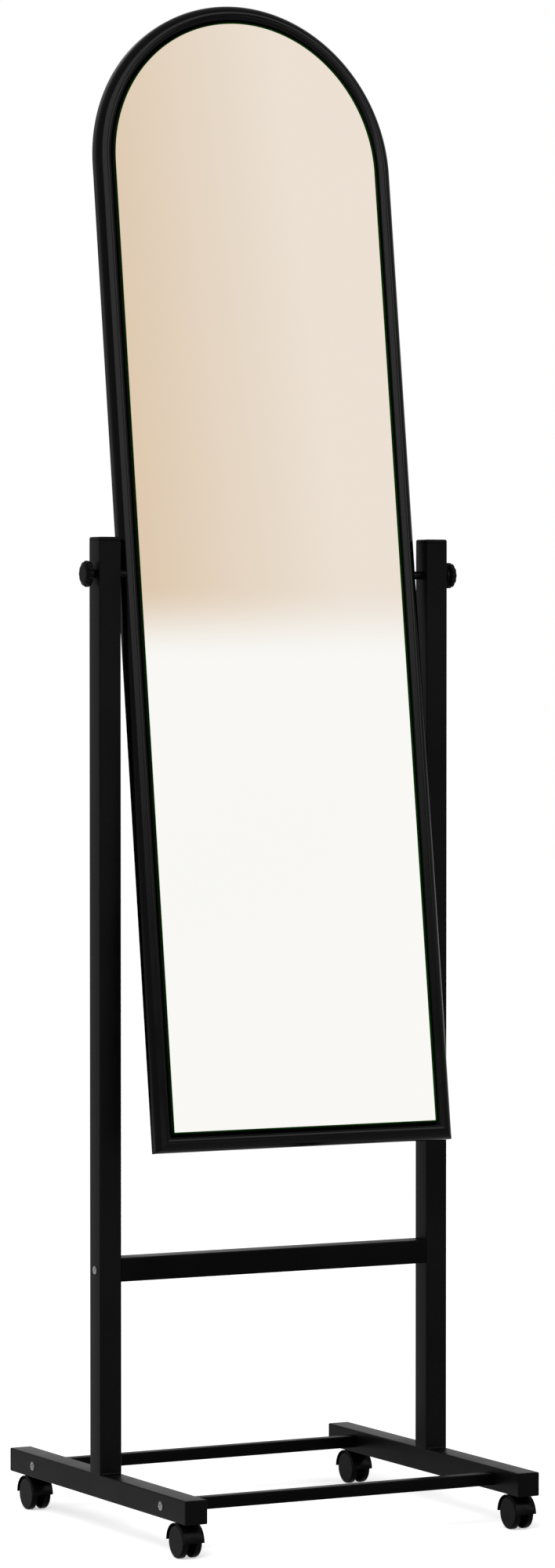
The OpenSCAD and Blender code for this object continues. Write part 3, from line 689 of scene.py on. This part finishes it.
def in_mirror(x, h, v):
    """A point of the mirror: x across, h forward of the tilt axis and v above it."""
    return mirror_place @ Vector((x, -h, v))


section = moulding_section()
hoop_rings = [[in_mirror(line_half + a, h, line_bottom - a + MITRE_LINE) for a, h in section]]
for step in range(ARCH_STEPS + 1):
    angle = math.pi * step / ARCH_STEPS
    hoop_rings.append([in_mirror((line_half + a) * math.cos(angle), h,
                                 arch_rise + (line_half + a) * math.sin(angle))
                       for a, h in section])
hoop_rings.append([in_mirror(-line_half - a, h, line_bottom - a + MITRE_LINE) for a, h in section])
piece("moulding_hoop", loft("hoop", hoop_rings), gloss, "mirror", ["frame_hoop"])

rail_rings = [[in_mirror(s * (line_half + a - MITRE_LINE), h, line_bottom - a) for a, h in section]
              for s in (-1, 1)]
piece("moulding_rail", loft("rail", rail_rings), gloss, "mirror", ["frame_bottom"])

# ---------------------------------------------------------------- glass
# 4 mm float glass, cut to the arch with its edges ground flat and eased. Its silver is drawn on its
# face. Round that runs a painted reflection: a band in the dark green of its own edge, as if seen
# through the glass and in the silver behind it, wider on the right, as the photograph's view from the left shows
# it.
GLASS_FACE = 0.0054
GLASS_THICK = 0.004
ARRIS = 0.0005
# Width and leftward shift of the painted reflection band of the green edge.
EDGE_BAND = 0.0012
BAND_SHIFT = 0.0011
FACING_LEAST = 0.9


def silvered_glass():
    """Mirror glass: clean silver with the faintest drift in its tone."""
    material, tree, main, place = shader("silvered_glass", 1.0, 1.5)
    drift = spread(tree, noise(tree, place, 2.0, 2.0), 0.0, 1.0)
    tree.links.new(tones(tree, drift, (0.975, 0.985, 0.98), (0.99, 0.995, 0.992)),
                   main.inputs["Base Color"])
    haze = spread(tree, noise(tree, place, 60.0, 3.0), low=0.0, high=0.004, start=0.5, stop=0.8)
    tree.links.new(haze, main.inputs["Roughness"])
    return material


def arch_ring(inset, h, half, bottom, shift=0.0):
    """Outline of an arched plate at one depth, drawn in by an inset and moved left by a shift."""
    points = [in_mirror(half - inset - shift, h, bottom + inset)]
    for step in range(ARCH_STEPS + 1):
        angle = math.pi * step / ARCH_STEPS
        points.append(in_mirror((half - inset) * math.cos(angle) - shift, h,
                                arch_rise + (half - inset) * math.sin(angle)))
    points.append(in_mirror(inset - half - shift, h, bottom + inset))
    return points


def arched_plate(name, half, bottom, back, face, edge, band=0.0):
    """A plate between two depths with both its edges eased, and a band of painted reflection round its face."""
    rings = [arch_ring(edge, back, half, bottom), arch_ring(0, back + edge, half, bottom),
             arch_ring(0, face - edge, half, bottom), arch_ring(edge, face, half, bottom)]
    if band:
        rings.append(arch_ring(edge + band, face, half, bottom, BAND_SHIFT))
    return loft(name, rings)


pane = arched_plate("pane", glass_half, GLASS_BOTTOM, GLASS_FACE - GLASS_THICK, GLASS_FACE, ARRIS,
                    EDGE_BAND)
piece("mirror_pane", pane, silvered_glass(), "mirror", ["glass"])
# The ground edge, the painted reflection band and the hidden back: dark, with a bottle-green depth
pane.materials.append(mottled("glass_edge_and_painted_reflection", 0.0, 1.04,
                              cloud=(300.0, 3.0), counts=CLOUD_RANGE,
                              dark=(0.0009, 0.0160, 0.0004), light=(0.0014, 0.0220, 0.0008),
                              rough=(0.2, 0.35)))
front = (mirror_place.to_3x3() @ Vector((0, -1, 0))).normalized()
# The painted reflection band, like the edges and back, takes the green finish.
for face in pane.polygons:
    silvered = len(face.vertices) > 4 and face.normal.dot(front) > FACING_LEAST
    face.material_index = 0 if silvered else 1

# ---------------------------------------------------------------- core and back panel
# A stiff core board behind the glass and a thin black-faced fibreboard panel, screwed to the
# rebate from behind. The panel shows a faint long fibre.
PANEL_THICK = 0.003
PANEL_EASE = 0.0003
CORE_EASE = 0.0002
BOARD_PLAY = 0.0003


def faced_board():
    """Black-faced fibreboard: soft, dull, with a long faint fibre and small scuffs."""
    material, tree, main, place = shader("black_faced_board", 0.0, 1.3)
    fibre = noise(tree, place, 160.0, 6.0, (1, 1, 0.12))
    scuff = spread(tree, noise(tree, place, 5.0, 6.0), low=0.0, high=1.0, start=0.5, stop=0.75)
    tree.links.new(tones(tree, fibre, (0.008, 0.0075, 0.007), (0.016, 0.015, 0.014)),
                   main.inputs["Base Color"])
    tree.links.new(spread(tree, scuff, 0.55, 0.75, 0.0, 1.0), main.inputs["Roughness"])
    relief(tree, main, fibre, 0.0001, 0.5)
    return material


board = faced_board()
flank = line_half - MOULDING_RADIUS - BOARD_PLAY
board_bottom = line_bottom + MOULDING_RADIUS + BOARD_PLAY
panel_back = MOULDING_BACK + MOULDING_WALL
panel_face = panel_back + PANEL_THICK
piece("panel_board",
      arched_plate("panel", flank, board_bottom, panel_back, panel_face, PANEL_EASE),
      board, "mirror", ["back_panel"])
piece("core_block", arched_plate("core", flank, board_bottom, panel_face,
                                 GLASS_FACE - GLASS_THICK, CORE_EASE),
      board, "mirror", ["core"])

# ---------------------------------------------------------------- panel and bracket screws
# Small domed screws from behind: fourteen through the rebate into the panel, and two through the
# moulding's back into each corner bracket.
SIDE_SHARES = (-0.78, -0.36, 0.06, 0.5)
ARCH_ANGLES = (30, 70, 110, 150)
BRACKET_REACH = 0.032
SMALL_SCREW = (0.003, 0.0012, 0.0016, 0.003, 0.0018)

rebate_line = line_half - MOULDING_RADIUS - REBATE / 2
rebate_bottom = line_bottom + MOULDING_RADIUS + REBATE / 2
panel_points = [(s * rebate_line, -share * GLASS_BOTTOM) for s in (-1, 1) for share in SIDE_SHARES]
panel_points += [(rebate_line * math.cos(math.radians(angle)),
                  arch_rise + rebate_line * math.sin(math.radians(angle)))
                 for angle in ARCH_ANGLES]
panel_points += [(s * line_half / 2, rebate_bottom) for s in (-1, 1)]
corner_points = [(s * (line_half - x), line_bottom + v)
                 for s in (-1, 1) for x, v in ((BRACKET_REACH, 0), (0, BRACKET_REACH))]
screw_set("panel_bolts", [(in_mirror(x, MOULDING_BACK, v), -front) for x, v in panel_points],
          "mirror", ["panel_screws"], SMALL_SCREW)
screw_set("corner_bolts", [(in_mirror(x, MOULDING_BACK, v), -front) for x, v in corner_points],
          "mirror", ["corner_screws"], SMALL_SCREW)

# ---------------------------------------------------------------- pivots
# A turned steel sleeve, in the stand's satin black, stands out of the moulding's side toward each
# post, and the knob's stud runs through the post into it.
TURN_STEPS = 64
TURN_EASE = 0.0004
SLEEVE_START = 0.004

insert_low, insert_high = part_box("pivot_insert_right")
insert_radius = (insert_high.z - insert_low.z) / 2


def turned(name, start, direction, profile, steps=TURN_STEPS, outline=None):
    """A turned form: (radius, distance) pairs about a line. outline(angle, radius) may shape it."""
    along = Vector(direction).normalized()
    side = along.orthogonal().normalized()
    up = along.cross(side)
    rings = []
    for radius, distance in profile:
        ring = []
        for i in range(steps):
            angle = 2 * math.pi * i / steps
            r = outline(angle, radius) if outline else radius
            ring.append(Vector(start) + along * distance
                        + side * (r * math.cos(angle)) + up * (r * math.sin(angle)))
        rings.append(ring)
    return loft(name, rings)


def pin(radius, low, high, ease=TURN_EASE):
    """Profile of a plain pin with eased ends."""
    return [(0, low), (radius - ease, low), (radius, low + ease), (radius, high - ease),
            (radius - ease, high), (0, high)]


for side in ("left", "right"):
    line = away[side]
    piece(f"pivot_sleeve_{side}",
          turned("sleeve", pivot, line,
                 pin(insert_radius, line_half + SLEEVE_START, insert_high.x)),
          coat, "mirror", [f"pivot_insert_{side}"])

# ---------------------------------------------------------------- knobs
# Clamping knobs moulded in black plastic round a threaded steel stud: a short hub and a head of
# twelve round finger lobes that die out at its raised flat face. A plain collar sits behind each.
KNOB_LOBES = 12
LOBE_ROUND = 0.0038
KNOB_RADIUS = 0.0137
KNOB_FACE = 0.0084
LOBE_FULL = 0.0134
HUB_LOW = 0.0077
HUB_HIGH = 0.0083
HUB_EASE = 0.0004
HEAD_BACK = 0.0029
KNOB_TALL = 0.0103
# The head's two edges: (radius, distance from its back) and (radius, distance from its top)
BACK_EDGE = ((HUB_HIGH, 0), (0.0120, 0.0001), (0.0131, 0.0003), (0.0136, 0.0007),
             (KNOB_RADIUS, 0.0011))
FRONT_EDGE = ((KNOB_RADIUS, 0.0032), (0.0134, 0.0025), (0.0125, 0.0017), (0.0112, 0.0010),
              (0.0098, 0.0005), (KNOB_FACE + 0.0004, 0.0001), (KNOB_FACE - 0.0002, 0),
              (KNOB_FACE - 0.0012, 0))
KNOB_STEPS = 240
STUD_RADIUS = 0.003
COLLAR_RADIUS = 0.0043
COLLAR_EASE = 0.0003

knob_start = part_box("collar_right")[1].x


def lobed(angle, radius):
    """A knob's radius at an angle: lobes at full depth on the rim, none within the flat face."""
    pitch = 2 * math.pi / KNOB_LOBES
    off = angle % pitch - pitch / 2
    far = KNOB_RADIUS - LOBE_ROUND
    rim = far * math.cos(off) + math.sqrt(LOBE_ROUND ** 2 - (far * math.sin(off)) ** 2)
    share = max(0.0, min(1.0, (radius - KNOB_FACE) / (LOBE_FULL - KNOB_FACE)))
    return radius - share * (KNOB_RADIUS - rim)


knob_profile = [(0, 0), (HUB_LOW - HUB_EASE, 0), (HUB_LOW, HUB_EASE)]
knob_profile += [(radius, HEAD_BACK + up) for radius, up in BACK_EDGE]
knob_profile += [(radius, KNOB_TALL - down) for radius, down in FRONT_EDGE]
for side in ("left", "right"):
    line = away[side]
    piece(f"knob_head_{side}",
          turned("knob", pivot + line * knob_start, line, knob_profile, KNOB_STEPS, lobed),
          plastic, f"knob_{side}", [f"knob_{side}"], sharp=38)
    piece(f"knob_collar_{side}",
          turned("collar", pivot + line * outer_x["right"], line,
                 pin(COLLAR_RADIUS, 0, knob_start - outer_x["right"], COLLAR_EASE)),
          plastic, f"collar_{side}", [f"collar_{side}"])
    ends = sorted(abs(corner.x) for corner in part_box(f"stud_{side}"))
    piece(f"stud_rod_{side}", turned("stud", pivot, line, pin(STUD_RADIUS, *ends)),
          zinc, f"knob_{side}", [f"stud_{side}"])

# ---------------------------------------------------------------- caster hoods
# One moulding of tough black plastic: a half-round fender over both wheels and a thick web between
# them, with a round boss for the axle. Its lower lips are square and slightly rounded.
HOOD_GAP = 0.0007
HOOD_WALL = 0.0012
HOOD_SPREAD = 0.0013
WEB_HALF = 0.0044
BOSS_RADIUS = 0.0042
HOOD_STEPS = 40
HOOD_EASE = 0.00035
HOOD_SHARP = 35
SPREAD_STEEP = 6
WEB_LAP = 0.0004
BOSS_STEP = 9

hood_plastic = moulded_plastic("black_caster_plastic", 0.26)
wheel_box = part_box("wheel_front_left_outer")
wheel_radius = (wheel_box[1].z - wheel_box[0].z) / 2


def hood_arc(radius, start, stop):
    """Points (y, z) of an arc whose front and rear halves are drawn apart by the spread."""
    points = []
    for step in range(HOOD_STEPS + 1):
        angle = math.radians(start + (stop - start) * step / HOOD_STEPS)
        shift = HOOD_SPREAD * max(-1.0, min(1.0, math.cos(angle) * SPREAD_STEEP))
        points.append((shift + radius * math.cos(angle), radius * math.sin(angle)))
    return points


def slab(name, outline, middle, half):
    """An outline of (y, z) made solid across x, with all its edges eased by a bevel."""
    rings = [[(middle.x + x, middle.y + y, middle.z + z) for y, z in outline]
             for x in (-half, half)]
    holder = bpy.data.objects.new(name, loft(name, rings))
    scene.collection.objects.link(holder)
    bevel = holder.modifiers.new("ease", "BEVEL")
    bevel.width = HOOD_EASE
    bevel.segments = 2
    bevel.limit_method = "ANGLE"
    bevel.angle_limit = math.radians(HOOD_SHARP)
    graph = bpy.context.evaluated_depsgraph_get()
    made = bpy.data.meshes.new_from_object(holder.evaluated_get(graph))
    bpy.data.objects.remove(holder)
    return made


fender_out = hood_arc(wheel_radius + HOOD_GAP + HOOD_WALL, 0, 180)
fender_in = hood_arc(wheel_radius + HOOD_GAP, 180, 0)
web_low = [(-BOSS_RADIUS * math.cos(math.radians(a)), -BOSS_RADIUS * math.sin(math.radians(a)))
           for a in range(0, 181, BOSS_STEP)]
web_high = hood_arc(wheel_radius + HOOD_GAP + WEB_LAP, 0, 180)
corners = [(end, side) for end in ("front", "rear") for side in ("left", "right")]
for end, side in corners:
    low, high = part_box(f"hood_{end}_{side}")
    middle = Vector(((low.x + high.x) / 2, (low.y + high.y) / 2, wheel_radius))
    bm = bmesh.new()
    bm.from_mesh(slab("fender", fender_out + fender_in, middle, (high.x - low.x) / 2))
    bm.from_mesh(slab("web", web_high + web_low, middle, WEB_HALF))
    hood = bpy.data.meshes.new(f"caster_hood_{end}_{side}")
    bm.to_mesh(hood)
    bm.free()
    piece(f"caster_hood_{end}_{side}", hood, hood_plastic, f"caster_{end}_{side}",
          [f"hood_{end}_{side}"], sharp=40)

# ---------------------------------------------------------------- caster wheels
# Twin wheels of hard black nylon: a plain disc outside, a rounded rim, a hub that turns on the axle,
# and a hollow inner side, left rough and given painted shade: its finish reflects far less.
WHEEL_ROUND = 0.0020
RIM_EASE = 0.0003
TREAD_EASE = 0.0004
FACE_RINGS = (0.8, 0.7)
WHEEL_STEPS = 96
TOUCH = 0.0001
WHEEL_RIM = 0.0018
WHEEL_DISC = 0.0022
HUB_RADIUS = 0.0044
AXLE_RADIUS = 0.002
RIM_STEPS = 8

wheel_plastic = moulded_plastic("black_wheel_nylon", 0.24)
# Painted shade: the hollow inner side gets a rough finish that reflects far less, dark like shade in a recess.
rough_painted_shade_nylon = moulded_plastic("rough_painted_shade_wheel_nylon", 0.6, 1.03)
wheel_wide = wheel_box[1].x - wheel_box[0].x


def wheel_profile():
    """(radius, distance) from the inner side's bore, round the rim, to the middle of the face."""
    floor_depth = wheel_wide - WHEEL_DISC
    points = [(AXLE_RADIUS, 0.0), (HUB_RADIUS, 0.0), (HUB_RADIUS, floor_depth),
              (wheel_radius - WHEEL_RIM, floor_depth), (wheel_radius - WHEEL_RIM, RIM_EASE),
              (wheel_radius - WHEEL_RIM + RIM_EASE, 0.0), (wheel_radius - TREAD_EASE, 0.0),
              (wheel_radius, TREAD_EASE)]
    for step in range(RIM_STEPS + 1):
        angle = math.pi / 2 * step / RIM_STEPS
        points.append((wheel_radius - WHEEL_ROUND * (1 - math.cos(angle)),
                       wheel_wide - WHEEL_ROUND * (1 - math.sin(angle))))
    return points + [(wheel_radius * share, wheel_wide) for share in FACE_RINGS]


for end, side in corners:
    hood_low, hood_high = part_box(f"hood_{end}_{side}")
    middle_x = (hood_low.x + hood_high.x) / 2
    for part in ("outer", "inner"):
        node = f"wheel_{end}_{side}_{part}"
        low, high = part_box(node)
        right_of_web = (low.x + high.x) / 2 > middle_x
        start = Vector((low.x if right_of_web else high.x, (low.y + high.y) / 2, wheel_radius))
        direction = (1, 0, 0) if right_of_web else (-1, 0, 0)
        wheel = turned(node, start, direction, wheel_profile(), WHEEL_STEPS)
        piece(f"caster_{node}", wheel, wheel_plastic, node, [node], sharp=40)
        # Faces deep in the hollow take the painted-shade finish.
        wheel.materials.append(rough_painted_shade_nylon)
        for face in wheel.polygons:
            off = face.center - start
            deep = abs(off.x) < wheel_wide - WHEEL_DISC + TOUCH
            inside = math.hypot(off.y, off.z) < wheel_radius - WHEEL_RIM + TOUCH
            face.material_index = 1 if deep and inside else 0

# ---------------------------------------------------------------- finishes of the kept CAD pieces
# Plugs, sockets, brackets, stems and axles are hidden or plain turned pieces, so their solids stay
# as they are and only take their finish: moulded plastic or dull zinc.
cad_finish = {"plastic": plastic, "zinc": zinc}
slot_of = {part["node"]: part["material_slot"] for part in frame["record"]["subparts"]}
for node, obj in frame["nodes"].items():
    if not obj.hide_render:
        obj.data.materials.clear()
        obj.data.materials.append(cad_finish[slot_of[node]])

low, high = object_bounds()
